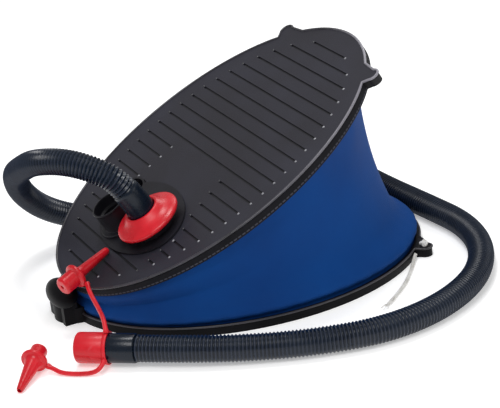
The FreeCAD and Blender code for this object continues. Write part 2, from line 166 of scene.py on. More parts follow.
studio = {
    "sky": 0.4,
    "skyColor": (1.0, 1.0, 1.0, 1),
    "floorSize": 8,
    "floorColor": (0.93, 0.93, 0.93, 1),
    "floorRough": 0.9,
    "floorGlow": 0.36,
    "lights": [  # name, place, width across, watts
        ("keyLight", (-0.55, -0.75, 1.35), 0.7, 9),
        ("fillLight", (0.95, -1.0, 0.75), 1.0, 2.5),
        ("rimLight", (0.75, 0.85, 1.15), 0.8, 4),
        ("topLight", (0.02, 0.2, 1.3), 0.34, 4.5),
    ],
    "lookAt": (0.0, 0.0, 0.06),
}


def makeStudio():
    clearSelection()
    bpy.ops.mesh.primitive_plane_add(size=studio["floorSize"], location=(0, 0, 0))
    floor = bpy.context.object
    floor.name = "studioFloor"
    paper = bpy.data.materials.new("paper")
    paper.use_nodes = True
    shader = paper.node_tree.nodes["Principled BSDF"]
    shader.inputs["Base Color"].default_value = studio["floorColor"]
    shader.inputs["Roughness"].default_value = studio["floorRough"]
    shader.inputs["Emission Color"].default_value = (1, 1, 1, 1)
    shader.inputs["Emission Strength"].default_value = studio["floorGlow"]
    floor.data.materials.append(paper)
    world = bpy.data.worlds.new("studioSky")
    world.use_nodes = True
    sky = world.node_tree.nodes["Background"]
    sky.inputs["Color"].default_value = studio["skyColor"]
    sky.inputs["Strength"].default_value = studio["sky"]
    bpy.context.scene.world = world
    bpy.context.scene.view_settings.view_transform = "Standard"
    for name, place, size, power in studio["lights"]:
        lamp = bpy.data.lights.new(name, "AREA")
        lamp.shape = "DISK"
        lamp.size = size
        lamp.energy = power
        holder = addObject(name, lamp)
        holder.location = place
        aim = Vector(studio["lookAt"]) - Vector(place)
        holder.rotation_euler = aim.to_track_quat("-Z", "Y").to_euler()


makeCamera()
makeStudio()
print("camera, floor and lights ready")


# Materials: shared effects are node groups, shaders stay in each material.

def newGroup(name, inputs, outputs):
    group = bpy.data.node_groups.new(name, "ShaderNodeTree")
    for label, kind, value in inputs:
        socket = group.interface.new_socket(name=label, in_out="INPUT", socket_type=kind)
        socket.default_value = value
    for label, kind in outputs:
        group.interface.new_socket(name=label, in_out="OUTPUT", socket_type=kind)
    return group, group.nodes.new("NodeGroupInput"), group.nodes.new("NodeGroupOutput")


# A node with its settings, and its inputs as sockets to join or plain values.
def addNode(tree, kind, links=None, **settings):
    node = tree.nodes.new(kind)
    for field, value in settings.items():
        setattr(node, field, value)
    for key, source in (links or {}).items():
        if isinstance(source, bpy.types.NodeSocket):
            tree.links.new(source, node.inputs[key])
        else:
            node.inputs[key].default_value = source
    return node


def addMath(tree, operation, *values):
    node = addNode(tree, "ShaderNodeMath", dict(enumerate(values)), operation=operation)
    return node.outputs["Value"]


# Stretches a value from one span to another, and holds it at the ends.
def mapRange(tree, value, span=(0, 1), to=(0, 1)):
    node = addNode(tree, "ShaderNodeMapRange", {
        "Value": value, "From Min": span[0], "From Max": span[1], "To Min": to[0], "To Max": to[1]},
        clamp=True)
    return node.outputs["Result"]


def objectPlace(tree):
    return addNode(tree, "ShaderNodeTexCoord").outputs["Object"]


def splitParts(tree, vector):
    parts = addNode(tree, "ShaderNodeSeparateXYZ", {"Vector": vector})
    return parts.outputs["X"], parts.outputs["Y"]


# Fine moulding grain with slow patches, in object coordinates.
def makeGrainGroup():
    group, given, result = newGroup(
        "mouldedGrain",
        [("Grain Scale", "NodeSocketFloat", 1500.0), ("Patch Scale", "NodeSocketFloat", 18.0)],
        [("Height", "NodeSocketFloat"), ("Patches", "NodeSocketFloat")])
    place = objectPlace(group)
    grain = addNode(group, "ShaderNodeTexNoise", {
        "Vector": place, "Scale": given.outputs["Grain Scale"], "Detail": 3.0, "Roughness": 0.6})
    patches = addNode(group, "ShaderNodeTexNoise", {
        "Vector": place, "Scale": given.outputs["Patch Scale"], "Detail": 5.0, "Roughness": 0.55})
    group.links.new(grain.outputs["Fac"], result.inputs["Height"])
    group.links.new(mapRange(group, patches.outputs["Fac"], (0.35, 0.65)), result.inputs["Patches"])
    return group


# Sparse fine scratches and rubbed spots, as a mask.
def makeScuffGroup():
    group, given, result = newGroup(
        "lightScuffs", [("Amount", "NodeSocketFloat", 0.3), ("Scale", "NodeSocketFloat", 60.0)],
        [("Mask", "NodeSocketFloat")])
    place = objectPlace(group)
    stretch = addNode(group, "ShaderNodeMapping", {
        "Vector": place, "Rotation": (0.2, 0.5, 0.7), "Scale": (1.0, 6.0, 1.0)})
    lines = addNode(group, "ShaderNodeTexNoise", {
        "Vector": stretch.outputs["Vector"], "Scale": given.outputs["Scale"], "Detail": 6.0,
        "Roughness": 0.7})
    spots = addNode(group, "ShaderNodeTexNoise", {"Vector": place, "Scale": 25.0, "Detail": 2.0})
    both = addMath(group, "MULTIPLY", mapRange(group, lines.outputs["Fac"], (0.62, 0.72)),
                   mapRange(group, spots.outputs["Fac"], (0.5, 0.7)))
    group.links.new(addMath(group, "MULTIPLY", both, given.outputs["Amount"]), result.inputs["Mask"])
    return group


# Plain weave on the piece's own UV map, which is in metres.
def makeWeaveGroup():
    group, given, result = newGroup(
        "plainWeave", [("Thread", "NodeSocketFloat", 0.0007)], [("Height", "NodeSocketFloat")])
    flat = addNode(group, "ShaderNodeUVMap", uv_map="flatCut")
    turns = addMath(group, "DIVIDE", 2 * math.pi, given.outputs["Thread"])
    waves = [addMath(group, "SINE", addMath(group, "MULTIPLY", across, turns))
             for across in splitParts(group, flat.outputs["UV"])]
    level = addMath(group, "MULTIPLY_ADD", addMath(group, "MULTIPLY", *waves), 0.5, 0.5)
    group.links.new(level, result.inputs["Height"])
    return group


groups = {"grain": makeGrainGroup(), "scuffs": makeScuffGroup(), "weave": makeWeaveGroup()}


# A principled material with its constant values on the shader's own sockets.
def newMaterial(name, **values):
    material = bpy.data.materials.new(name)
    material.use_nodes = True
    tree = material.node_tree
    shader = tree.nodes["Principled BSDF"]
    for label, value in values.items():
        shader.inputs[label.replace("_", " ")].default_value = value
    return material, tree, shader


def joinColors(tree, mask, first, second):
    mix = addNode(tree, "ShaderNodeMix", data_type="RGBA")
    for index, source in ((0, mask), (6, first), (7, second)):
        if isinstance(source, bpy.types.NodeSocket):
            tree.links.new(source, mix.inputs[index])
        else:
            mix.inputs[index].default_value = source
    return mix.outputs[2]


# The mask blends the base colour from low to high. One that isn't given is the colour as it stands.
def tintBy(material, mask, low=None, high=None):
    tree = material.node_tree
    target = tree.nodes["Principled BSDF"].inputs["Base Color"]
    plain = target.links[0].from_socket
    tree.links.new(joinColors(tree, mask, low or plain, high or plain), target)


def addGrain(tree, look):
    grain = addNode(tree, "ShaderNodeGroup", node_tree=groups["grain"])
    grain.inputs["Grain Scale"].default_value = look["grainScale"]
    grain.inputs["Patch Scale"].default_value = look["patchScale"]
    return grain.outputs["Height"], grain.outputs["Patches"]


def addScuffs(tree, amount, scale=None):
    scuffs = addNode(tree, "ShaderNodeGroup", node_tree=groups["scuffs"])
    scuffs.inputs["Amount"].default_value = amount
    if scale:
        scuffs.inputs["Scale"].default_value = scale
    return scuffs.outputs["Mask"]


def addWeave(tree, thread):
    weave = addNode(tree, "ShaderNodeGroup", node_tree=groups["weave"])
    weave.inputs["Thread"].default_value = thread
    return weave.outputs["Height"]


def addBump(tree, shader, height, strength, depth):
    bump = addNode(tree, "ShaderNodeBump", {"Height": height, "Strength": strength, "Distance": depth})
    tree.links.new(bump.outputs["Normal"], shader.inputs["Normal"])


mouldedDepth = 0.0004


# Moulded plastic: patchy tint, grain in the bump, rubbed spots that are paler and duller.
def makePlastic(name, look):
    material, tree, shader = newMaterial(name, **look["values"])
    height, patches = addGrain(tree, look)
    scuffs = addScuffs(tree, look["scuffs"])
    tint = joinColors(tree, patches, look["dark"], look["light"])
    tree.links.new(joinColors(tree, scuffs, tint, look["rubbed"]), shader.inputs["Base Color"])
    rough = mapRange(tree, patches, to=look["rough"])
    wearAndHighlight = addNode(tree, "ShaderNodeMath", {0: rough, 1: scuffs}, operation="ADD", use_clamp=True)
    tree.links.new(wearAndHighlight.outputs["Value"], shader.inputs["Roughness"])
    addBump(tree, shader, height, look["bump"], mouldedDepth)
    return material


# A plain finish with slow patches, for the drawn steel and the braided cord.
def makePatchy(name, look):
    material, tree, shader = newMaterial(name, **look["values"])
    height, patches = addGrain(tree, look)
    tree.links.new(joinColors(tree, patches, look["dark"], look["light"]), shader.inputs["Base Color"])
    tree.links.new(mapRange(tree, patches, to=look["rough"]), shader.inputs["Roughness"])
    addBump(tree, shader, height, look["bump"], look["bumpDepth"])
    return material


looks = {
    "tread": {
        "values": {"Specular_IOR_Level": 0.3},
        "dark": (0.016, 0.015, 0.022, 1), "light": (0.024, 0.024, 0.036, 1),
        "rubbed": (0.08, 0.08, 0.095, 1), "rough": (0.42, 0.54), "grainScale": 1300,
        "patchScale": 14, "scuffs": 0.35, "bump": 0.35,
    },
    "rim": {
        "values": {"Specular_IOR_Level": 0.07},
        "dark": (0.003, 0.003, 0.0036, 1), "light": (0.007, 0.0068, 0.0085, 1),
        "rubbed": (0.05, 0.05, 0.055, 1), "rough": (0.36, 0.48), "grainScale": 1100,
        "patchScale": 20, "scuffs": 0.3, "bump": 0.25,
    },
    "panel": {
        "values": {"Specular_IOR_Level": 0.22},
        "dark": (0.008, 0.0075, 0.0105, 1), "light": (0.014, 0.0135, 0.019, 1),
        "rubbed": (0.06, 0.06, 0.07, 1), "rough": (0.36, 0.46), "grainScale": 1200,
        "patchScale": 26, "scuffs": 0.35, "bump": 0.3,
    },
    # Paler than the base plate's black: a painted highlight along the base's rim edge.
    "baseBead": {
        "values": {"Specular_IOR_Level": 0.5},
        "dark": (0.022, 0.020, 0.024, 1), "light": (0.045, 0.040, 0.048, 1),
        "rubbed": (0.14, 0.13, 0.14, 1), "rough": (0.28, 0.4), "grainScale": 900,
        "patchScale": 40, "scuffs": 0.4, "bump": 0.2,
    },
    # A little paler than the tread: a painted highlight on the pedal's rounded rim edge.
    "bead": {
        "values": {"Specular_IOR_Level": 0.55},
        "dark": (0.020, 0.019, 0.025, 1), "light": (0.045, 0.043, 0.055, 1),
        "rubbed": (0.2, 0.2, 0.22, 1), "rough": (0.24, 0.34), "grainScale": 900,
        "patchScale": 40, "scuffs": 0.5, "bump": 0.2,
    },
    "hose": {
        "values": {"Specular_IOR_Level": 0.3},
        "dark": (0.002, 0.006, 0.014, 1), "light": (0.0045, 0.0105, 0.022, 1),
        "rubbed": (0.05, 0.055, 0.075, 1), "rough": (0.22, 0.31), "grainScale": 900,
        "patchScale": 30, "scuffs": 0.25, "bump": 0.2,
    },
    "red": {
        "values": {"Specular_IOR_Level": 0.4, "Subsurface_Weight": 0.1,
                   "Subsurface_Radius": (0.004, 0.001, 0.001)},
        "dark": (0.56, 0.006, 0.014, 1), "light": (0.68, 0.010, 0.022, 1),
        "rubbed": (0.75, 0.14, 0.16, 1), "rough": (0.24, 0.38), "grainScale": 700,
        "patchScale": 55, "scuffs": 0.35, "bump": 0.18,
    },
    # The pale pip colour is a painted glint at the groove ends.
    "pips": {
        "values": {"Specular_IOR_Level": 0.6},
        "dark": (0.20, 0.20, 0.22, 1), "light": (0.34, 0.34, 0.37, 1),
        "rubbed": (0.12, 0.12, 0.12, 1), "rough": (0.15, 0.3), "grainScale": 2500,
        "patchScale": 300, "scuffs": 0.2, "bump": 0.1,
    },
    "rubber": {
        "values": {"Specular_IOR_Level": 0.3},
        "dark": (0.008, 0.008, 0.008, 1), "light": (0.02, 0.019, 0.018, 1),
        "rubbed": (0.06, 0.06, 0.06, 1), "rough": (0.6, 0.8), "grainScale": 900,
        "patchScale": 90, "scuffs": 0.3, "bump": 0.3,
    },
}
materials = {name: makePlastic(name + "Plastic", look) for name, look in looks.items()}


# The groove colour is painted shade in the grooves and on the rim's wall.
treadLook = {"groove": (0.0055, 0.005, 0.0065, 1), "heights": (0.0061, 0.0069)}


# Painted shade: the grooves and the rim's wall are darkened below the top of the tread.
def paintShadeBelowTop(material):
    tree = material.node_tree
    lifted = addNode(tree, "ShaderNodeVectorMath", {0: objectPlace(tree), 1: tuple(hingeAt)},
                     operation="SUBTRACT")
    height = addNode(tree, "ShaderNodeVectorMath", {0: lifted.outputs["Vector"], 1: tuple(pedalUp)},
                     operation="DOT_PRODUCT")
    top = mapRange(tree, height.outputs["Value"], treadLook["heights"])
    tintBy(material, top, low=treadLook["groove"])


paintShadeBelowTop(materials["tread"])

# The dull colour is for pips that carry no painted glint.
pipLook = {"dull": (0.02, 0.02, 0.025, 1), "patch": (-0.112, -0.02), "nearRow": -0.0625,
           "farRow": 0.055}


# Painted glints: the pale pip colour stands for glints at the groove ends. Only the near ends of the grooves, and
# the far ends beside the smooth patch, stay bright; the rest take the dark colour.
def paintPipGlints(material):
    tree = material.node_tree
    x, y = splitParts(tree, objectPlace(tree))
    near = addMath(tree, "LESS_THAN", y, 0.0)
    inPatch = addMath(tree, "MULTIPLY", addMath(tree, "GREATER_THAN", x, pipLook["patch"][0]),
                      addMath(tree, "LESS_THAN", x, pipLook["patch"][1]))
    farInner = addMath(tree, "SUBTRACT", addMath(tree, "LESS_THAN", y, pipLook["farRow"]), near)
    nearOuter = addMath(tree, "LESS_THAN", y, pipLook["nearRow"])
    beside = addMath(tree, "MULTIPLY", inPatch, addMath(tree, "ADD", farInner, nearOuter))
    elsewhere = addMath(tree, "MULTIPLY", addMath(tree, "SUBTRACT", 1.0, inPatch), near)
    tintBy(material, addMath(tree, "ADD", beside, elsewhere), low=pipLook["dull"])


paintPipGlints(materials["pips"])

# The bead's pale colour here is a painted highlight along its near side.
beadLook = {"wearAndHighlight": (0.28, 0.27, 0.31, 1), "along": (-0.03, 0.11), "across": (0.03, -0.03)}


# Painted highlight: the pedal's bead is palest on the near side, towards the wide end.
def paintNearEdgeHighlight(material):
    tree = material.node_tree
    x, y = splitParts(tree, objectPlace(tree))
    share = addMath(tree, "MULTIPLY", mapRange(tree, x, beadLook["along"]),
                    mapRange(tree, y, beadLook["across"]))
    tintBy(material, share, high=beadLook["wearAndHighlight"])


paintNearEdgeHighlight(materials["bead"])

steelLook = {
    "values": {"Metallic": 1.0}, "dark": (0.42, 0.42, 0.44, 1), "light": (0.64, 0.64, 0.66, 1),
    "rough": (0.24, 0.42), "grainScale": 2200, "patchScale": 80, "bump": 0.2, "bumpDepth": 0.0003,
}
cordLook = {
    "values": {"Specular_IOR_Level": 0.3, "Sheen_Weight": 0.3, "Sheen_Roughness": 0.5},
    "dark": (0.62, 0.6, 0.56, 1), "light": (0.84, 0.83, 0.8, 1),
    "rough": (0.7, 0.9), "grainScale": 2500, "patchScale": 90, "bump": 0.5, "bumpDepth": 0.0004,
}
fabricLook = {
    "values": {"Specular_IOR_Level": 0.1, "Sheen_Weight": 0.01, "Sheen_Roughness": 0.4},
    "deep": (0.003, 0.044, 0.205, 1), "lit": (0.004, 0.060, 0.260, 1), "faded": (0.012, 0.085, 0.30, 1),
    "rough": (0.66, 0.78), "grainScale": 1600, "patchScale": 9, "scuffs": 0.35, "scuffScale": 30,
    "thread": 0.0008, "threadShade": (0.86, 1.06), "grainLift": 0.5, "bump": 0.3,
    "bumpDepth": 0.0003,
}


# Coated woven nylon: a fine weave under a dull skin, paler where it is rubbed.
def makeFabric():
    material, tree, shader = newMaterial("coatedFabric", **fabricLook["values"])
    height, patches = addGrain(tree, fabricLook)
    scuffs = addScuffs(tree, fabricLook["scuffs"], fabricLook["scuffScale"])
    weave = addWeave(tree, fabricLook["thread"])
    tint = joinColors(tree, patches, fabricLook["deep"], fabricLook["lit"])
    color = joinColors(tree, scuffs, tint, fabricLook["faded"])
    shaded = addNode(tree, "ShaderNodeVectorMath", {0: color}, operation="SCALE")
    tree.links.new(mapRange(tree, weave, to=fabricLook["threadShade"]), shaded.inputs["Scale"])
    tree.links.new(shaded.outputs["Vector"], shader.inputs["Base Color"])
    tree.links.new(mapRange(tree, patches, to=fabricLook["rough"]), shader.inputs["Roughness"])
    addBump(tree, shader, addMath(tree, "MULTIPLY_ADD", height, fabricLook["grainLift"], weave),
            fabricLook["bump"], fabricLook["bumpDepth"])
    return material


bindingLook = {
    "values": {"Specular_IOR_Level": 0.12}, "grainScale": 1500, "patchScale": 40, "thread": 0.0011,
    "tape": (0.004, 0.004, 0.006, 1), "tapeLight": (0.010, 0.010, 0.013, 1), "rough": (0.6, 0.8),
    "stitch": (0.055, 0.055, 0.07, 1), "stitchPitch": 0.0036, "stitchShare": 0.68, "stitchRow": 0.0037,
    "stitchHalf": 0.00032, "stitchLift": 2.0, "bump": 0.5, "bumpDepth": 0.0004,
}


# Black edge tape with one row of lockstitch, on the piece's own UV map.
def makeBinding():
    material, tree, shader = newMaterial("edgeTape", **bindingLook["values"])
    patches = addGrain(tree, bindingLook)[1]
    weave = addWeave(tree, bindingLook["thread"])
    flat = addNode(tree, "ShaderNodeUVMap", uv_map="flatCut")
    along, up = splitParts(tree, flat.outputs["UV"])
    phase = addMath(tree, "FRACT", addMath(tree, "DIVIDE", along, bindingLook["stitchPitch"]))
    dash = addMath(tree, "LESS_THAN", phase, bindingLook["stitchShare"])
    row = addMath(tree, "COMPARE", up, bindingLook["stitchRow"], bindingLook["stitchHalf"])
    thread = addMath(tree, "MULTIPLY", dash, row)
    tint = joinColors(tree, patches, bindingLook["tape"], bindingLook["tapeLight"])
    tree.links.new(joinColors(tree, thread, tint, bindingLook["stitch"]), shader.inputs["Base Color"])
    tree.links.new(mapRange(tree, patches, to=bindingLook["rough"]), shader.inputs["Roughness"])
    addBump(tree, shader, addMath(tree, "MULTIPLY_ADD", thread, bindingLook["stitchLift"], weave),
            bindingLook["bump"], bindingLook["bumpDepth"])
    return material


materials["steel"] = makePatchy("drawnSteel", steelLook)
materials["fabric"] = makeFabric()
materials["binding"] = makeBinding()
materials["cord"] = makePatchy("braidedCord", cordLook)
slotMaterials = {
    "black_plastic": materials["rim"], "pale_plastic": materials["pips"],
    "blue_fabric": materials["fabric"], "steel": materials["steel"],
    "rubber": materials["rubber"], "hose_plastic": materials["hose"],
    "red_plastic": materials["red"], "white_cord": materials["cord"],
}
for part in frame["record"]["subparts"]:
    mesh = nodes[part["node"]].data
    mesh.materials.clear()
    mesh.materials.append(slotMaterials[part["material_slot"]])
nodes["pedal_plate"].data.materials[0] = materials["tread"]
nodes["port_plate"].data.materials[0] = materials["panel"]
print("materials ready:", len(bpy.data.materials))


# Cords: the hose, the two tethers and the storage cord, on the same routes as the model.

inflatePort = (82.4, -31)
endWay = Vector((-0.775, 0.632, 0)).normalized()
hoseEnd = mm * Vector((-133.4, -107.4, 12.3))
hoseRoute = [
    tuple(onPedal(*inflatePort, 33.5) / mm), tuple(onPedal(*inflatePort, 47.2) / mm),
    (-111, -26, 114), (-131, -6, 122.5), (-147.5, 23, 118), (-148, 58, 102), (-146, 90, 86),
    (-136, 114, 61), (-114, 127, 36), (-80, 130, 18), (-34, 140, 10.3), (20, 143, 10.3),
    (72, 136, 10.3), (113, 121, 10.3), (148, 92, 10.3), (151, 43, 10.3), (158, -12, 10.3),
    (163, -61, 10.3), (150, -109, 10.3), (119, -151, 10.3), (74, -178, 10.3), (24, -186, 10.3),
    (-25, -173, 10.3), (-68.5, -152.5, 10.8), (-106.3, -129.5, 12.3), (-133.4, -107.4, 12.3),
]
upperTetherRoute = [
    (-149.8, -94, 24.4), (-149.4, -93, 29), (-147.4, -84.5, 31.8), (-145.4, -72, 32.8),
    (-143.6, -58, 34), (-142.2, -45.5, 36), (-139.6, -34.5, 37.3),
]
lowerTetherRoute = [
    (-157, -102.8, 8.15), (-160.1, -106.5, 6.4), (-166, -106, 2.6), (-176, -99.5, 1.9),
    (-185.5, -91, 2.2), (-188.8, -84.5, 3.8), (-191.8, -80, 5.3),
]
storageCordRoute = [
    (110.4, -73.6, 4), (105.8, -79.5, 2.6), (97, -91.3, 1.8), (84, -107.5, 1.8),
    (67.5, -123.5, 1.8), (54, -134, 1.8),
]


# The smooth line of a route given in millimetres, as close points in metres.
def splineLine(name, route):
    curve = bpy.data.curves.new(name + "Line", "CURVE")
    curve.dimensions = "3D"
    curve.resolution_u = 60
    spline = curve.splines.new("NURBS")
    spline.points.add(len(route) - 1)
    for point, place in zip(spline.points, route):
        point.co = (*(mm * Vector(place)), 1)
    spline.order_u = 3
    spline.use_endpoint_u = True
    holder = addObject(name + "Line", curve)
    line = bpy.data.meshes.new_from_object(holder)
    points = [vertex.co.copy() for vertex in line.vertices]
    bpy.data.objects.remove(holder)
    bpy.data.curves.remove(curve)
    bpy.data.meshes.remove(line)
    return points


# Points along a line at an even spacing, with the distance walked at each.
def walkLine(points, spacing):
    total = sum((b - a).length for a, b in zip(points, points[1:]))
    steps = max(2, round(total / spacing))
    wanted = [total * step / steps for step in range(steps + 1)]
    places = []
    walked = 0
    index = 0
    for goal in wanted:
        while index < len(points) - 2 and walked + (points[index + 1] - points[index]).length < goal:
            walked += (points[index + 1] - points[index]).length
            index += 1
        span = (points[index + 1] - points[index]).length
        share = min(max((goal - walked) / span, 0), 1)
        places.append(points[index].lerp(points[index + 1], share))
    return places, wanted


# Two directions square to the line at each point, turning as little as they can.
def steadyFrames(places):
    ways = [(b - a).normalized() for a, b in zip(places, places[1:])]
    ways.append(ways[-1].copy())
    first = ways[0].orthogonal().normalized()
    frames = []
    for way in ways:
        first = (first - way * first.dot(way)).normalized()
        frames.append((first.copy(), way.cross(first)))
    return frames


# A closed tube along the points, whose radius follows the distance walked.
def sweptTube(name, places, walked, radiusAt, sides, crestAt=None):
    frames = steadyFrames(places)
    corners = []
    crests = []
    for place, distance, (first, second) in zip(places, walked, frames):
        radius = radiusAt(distance)
        for index in range(sides):
            angle = 2 * math.pi * index / sides
            corners.append(place + radius * (math.cos(angle) * first + math.sin(angle) * second))
            crests.append(crestAt(distance) if crestAt else 0)
    faces = ringFaces(len(places) - 1, sides)
    faces.append(tuple(reversed(range(sides))))
    faces.append(tuple(range((len(places) - 1) * sides, len(places) * sides)))
    mesh = bpy.data.meshes.new(name)
    mesh.from_pydata(corners, [], faces)
    mesh.attributes.new("crest", "FLOAT", "POINT").data.foreach_set("value", crests)
    mesh.update()
    piece = addObject(name, mesh)
    softShade(piece, 60)
    return piece


# Bends a swept piece across the hinge by the distance walked, 0 at the base and 1 at the pedal.
def blendAlong(piece, walked, sides, weightAt):
    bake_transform(piece, "base", "pedal", start=(0, 0, 0), end=(0, 0, 1))
    weights = [weightAt(distance) for distance in walked for _ in range(sides)]
    piece.data.attributes["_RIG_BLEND"].data.foreach_set("value", weights)


def easeStep(value, low, high):
    share = min(max((value - low) / (high - low), 0), 1)
    return share * share * (3 - 2 * share)


hoseSet = {"radius": 0.0100, "ribDepth": 0.0012, "ribPitch": 0.0027, "stepsPerRib": 4, "sides": 28,
           "turnsWithPedal": 0.02, "stillAfter": 0.36, "plainStart": 0.006, "plainShare": 0.3}


# The ribbed hose: every rib is modelled, and the loop bends with the pedal.
def makeHose():
    points = splineLine("hose", hoseRoute)
    places, walked = walkLine(points, hoseSet["ribPitch"] / hoseSet["stepsPerRib"])

    def crest(distance):
        return 0.5 + 0.5 * math.cos(2 * math.pi * distance / hoseSet["ribPitch"])

    def radius(distance):
        ease = easeStep(distance, 0, hoseSet["plainStart"])
        depth = hoseSet["plainShare"] + (1 - hoseSet["plainShare"]) * ease
        return hoseSet["radius"] - hoseSet["ribDepth"] * (1 - crest(distance)) * depth

    hose = sweptTube("ribbedHose", places, walked, radius, hoseSet["sides"], crest)
    finishPiece(hose, None, "hose_plastic", materials["ribbed"], "hose")
    blendAlong(hose, walked, hoseSet["sides"], lambda distance: 1 - easeStep(
        distance, hoseSet["turnsWithPedal"], hoseSet["stillAfter"]))
    return hose, places, walked[-1]


# The crest colour is a painted highlight on the rib crests.
ribHighlightLook = {"crest": (0.030, 0.038, 0.062, 1), "span": (0.45, 0.95), "most": 0.7}


# The hose plastic, paler on the crests of the ribs: a painted highlight along the crests.
def makeRibbedMaterial():
    material = materials["hose"].copy()
    material.name = "ribbedHosePlastic"
    tree = material.node_tree
    crest = addNode(tree, "ShaderNodeAttribute", attribute_name="crest").outputs["Fac"]
    share = mapRange(tree, crest, ribHighlightLook["span"], (0, ribHighlightLook["most"]))
    tintBy(material, share, high=ribHighlightLook["crest"])
    return material


tetherSet = {"radius": 0.00165, "sides": 16, "spacing": 0.0008, "swell": 0.35, "swellLength": 0.004}


# A soft round strap that thickens where it joins the ring and the nozzle.
def makeTether(name, route, body, node):
    points = splineLine(name, route)
    places, walked = walkLine(points, tetherSet["spacing"])
    total = walked[-1]

    def radius(distance):
        end = min(distance, total - distance)
        return tetherSet["radius"] * (
            1 + tetherSet["swell"] * (1 - easeStep(end, 0, tetherSet["swellLength"])))

    tether = sweptTube(name, places, walked, radius, tetherSet["sides"])
    finishPiece(tether, body, "red_plastic", materials["red"], node)
    return tether, places, walked


storageSet = {"strandRadius": 0.00082, "strandOffset": 0.00072, "twist": 0.0085, "strands": 3,
              "sides": 10, "spacing": 0.0009}
fraySet = {"fibres": 14, "seed": 4, "length": 0.012, "shortest": 0.4, "spread": 0.7, "lowest": 0.0004,
           "bow": 0.001, "inside": 0.002, "spacing": 0.002, "radius": 0.00016, "sides": 5}


def joinPieces(name, pieces):
    clearSelection()
    for piece in pieces:
        piece.select_set(True)
    bpy.context.view_layer.objects.active = pieces[0]
    bpy.ops.object.join()
    bpy.context.object.name = name
    return bpy.context.object


# Three strands laid round each other.
def makeStorageCord():
    points = splineLine("storageCord", storageCordRoute)
    places, walked = walkLine(points, storageSet["spacing"])
    frames = steadyFrames(places)
    strands = []
    for strand in range(storageSet["strands"]):
        shifted = []
        for place, distance, (first, second) in zip(places, walked, frames):
            angle = 2 * math.pi * (distance / storageSet["twist"] + strand / storageSet["strands"])
            shifted.append(place + storageSet["strandOffset"] * (math.cos(angle) * first
                                                                 + math.sin(angle) * second))
        strands.append(sweptTube("strand%d" % strand, shifted, walked,
                                 lambda distance: storageSet["strandRadius"], storageSet["sides"]))
    cord = joinPieces("storageCord", strands)
    finishPiece(cord, "base", "white_cord", materials["cord"], "closure_cord")
    return cord, places, walked[-1]


# Loose fibres at the cord's cut end.
def makeFray(places):
    pick = random.Random(fraySet["seed"])
    way = (places[-1] - places[-4]).normalized()
    fibres = []
    for fibre in range(fraySet["fibres"]):
        spread = Vector((pick.uniform(-0.5, 0.5), pick.uniform(-0.5, 0.5), pick.uniform(-0.05, 0.3)))
        length = fraySet["length"] * pick.uniform(fraySet["shortest"], 1)
        tip = places[-1] + (way + fraySet["spread"] * spread).normalized() * length
        tip.z = max(tip.z, fraySet["lowest"])
        bow = (places[-1] + tip) / 2 + Vector((0, 0, fraySet["bow"]))
        curl, walked = walkLine([places[-1] - way * fraySet["inside"], bow, tip], fraySet["spacing"])
        fibres.append(sweptTube("fibre%d" % fibre, curl, walked, lambda distance: fraySet["radius"],
                                fraySet["sides"]))
    return finishPiece(joinPieces("frayedEnd", fibres), "base", "white_cord", materials["cord"])


materials["ribbed"] = makeRibbedMaterial()
hose, hosePlaces, hoseLength = makeHose()
upperTether, upperPlaces, upperWalked = makeTether(
    "upperTether", upperTetherRoute, None, "upper_tether")
blendAlong(upperTether, upperWalked, tetherSet["sides"], lambda distance: easeStep(
    distance, tetherSet["swellLength"], upperWalked[-1] - tetherSet["swellLength"]))
lowerTether, lowerPlaces, lowerWalked = makeTether(
    "lowerTether", lowerTetherRoute, "base", "lower_tether")
storageCord, storagePlaces, storageLength = makeStorageCord()
fray = makeFray(storagePlaces)
print("cords ready: hose %.3f m, tethers %.3f and %.3f m, storage cord %.3f m"
      % (hoseLength, upperWalked[-1], lowerWalked[-1], storageLength))


# Bellows: one sheet of coated fabric between the two plates, and the tape on its top edge.

bellowsSet = {
    "columns": 220, "rows": 34,
    "baseHalf": (138.2, 109.2), "baseHeight": 3.4,
    "pedalHalf": (137.6, 108.6), "pedalHeight": 3.4, "pedalMiddle": 151.9,
    "tallest": 155, "waist": 13.5, "waistGrowth": 1.2, "waistShape": 0.6,
    "spill": 11, "spillAt": 11, "spillWide": 9, "spillFrom": (3, 9),
    "fold": 4.4, "tuck": 1.2, "foldBelow": (34, 100),
    "pleat": 0.45, "pleats": 47, "pleatTop": 10, "pleatFoot": 12,
    "slack": 1.5, "slackRound": 2.4, "slackUp": 1.6, "heldFoot": 6, "heldTop": 5,
    "thickness": 0.0009, "measuredAt": 180,
}
bandSet = {
    "half": (142.5, 113.5), "thickness": 0.0006,
    "profile": [(-2.4, -0.8), (-1.2, -1.1), (0.1, -1.0), (0.7, -0.3), (0.8, 1.2), (0.75, 3.2),
                (0.7, 4.8), (0.55, 6.1)],
}


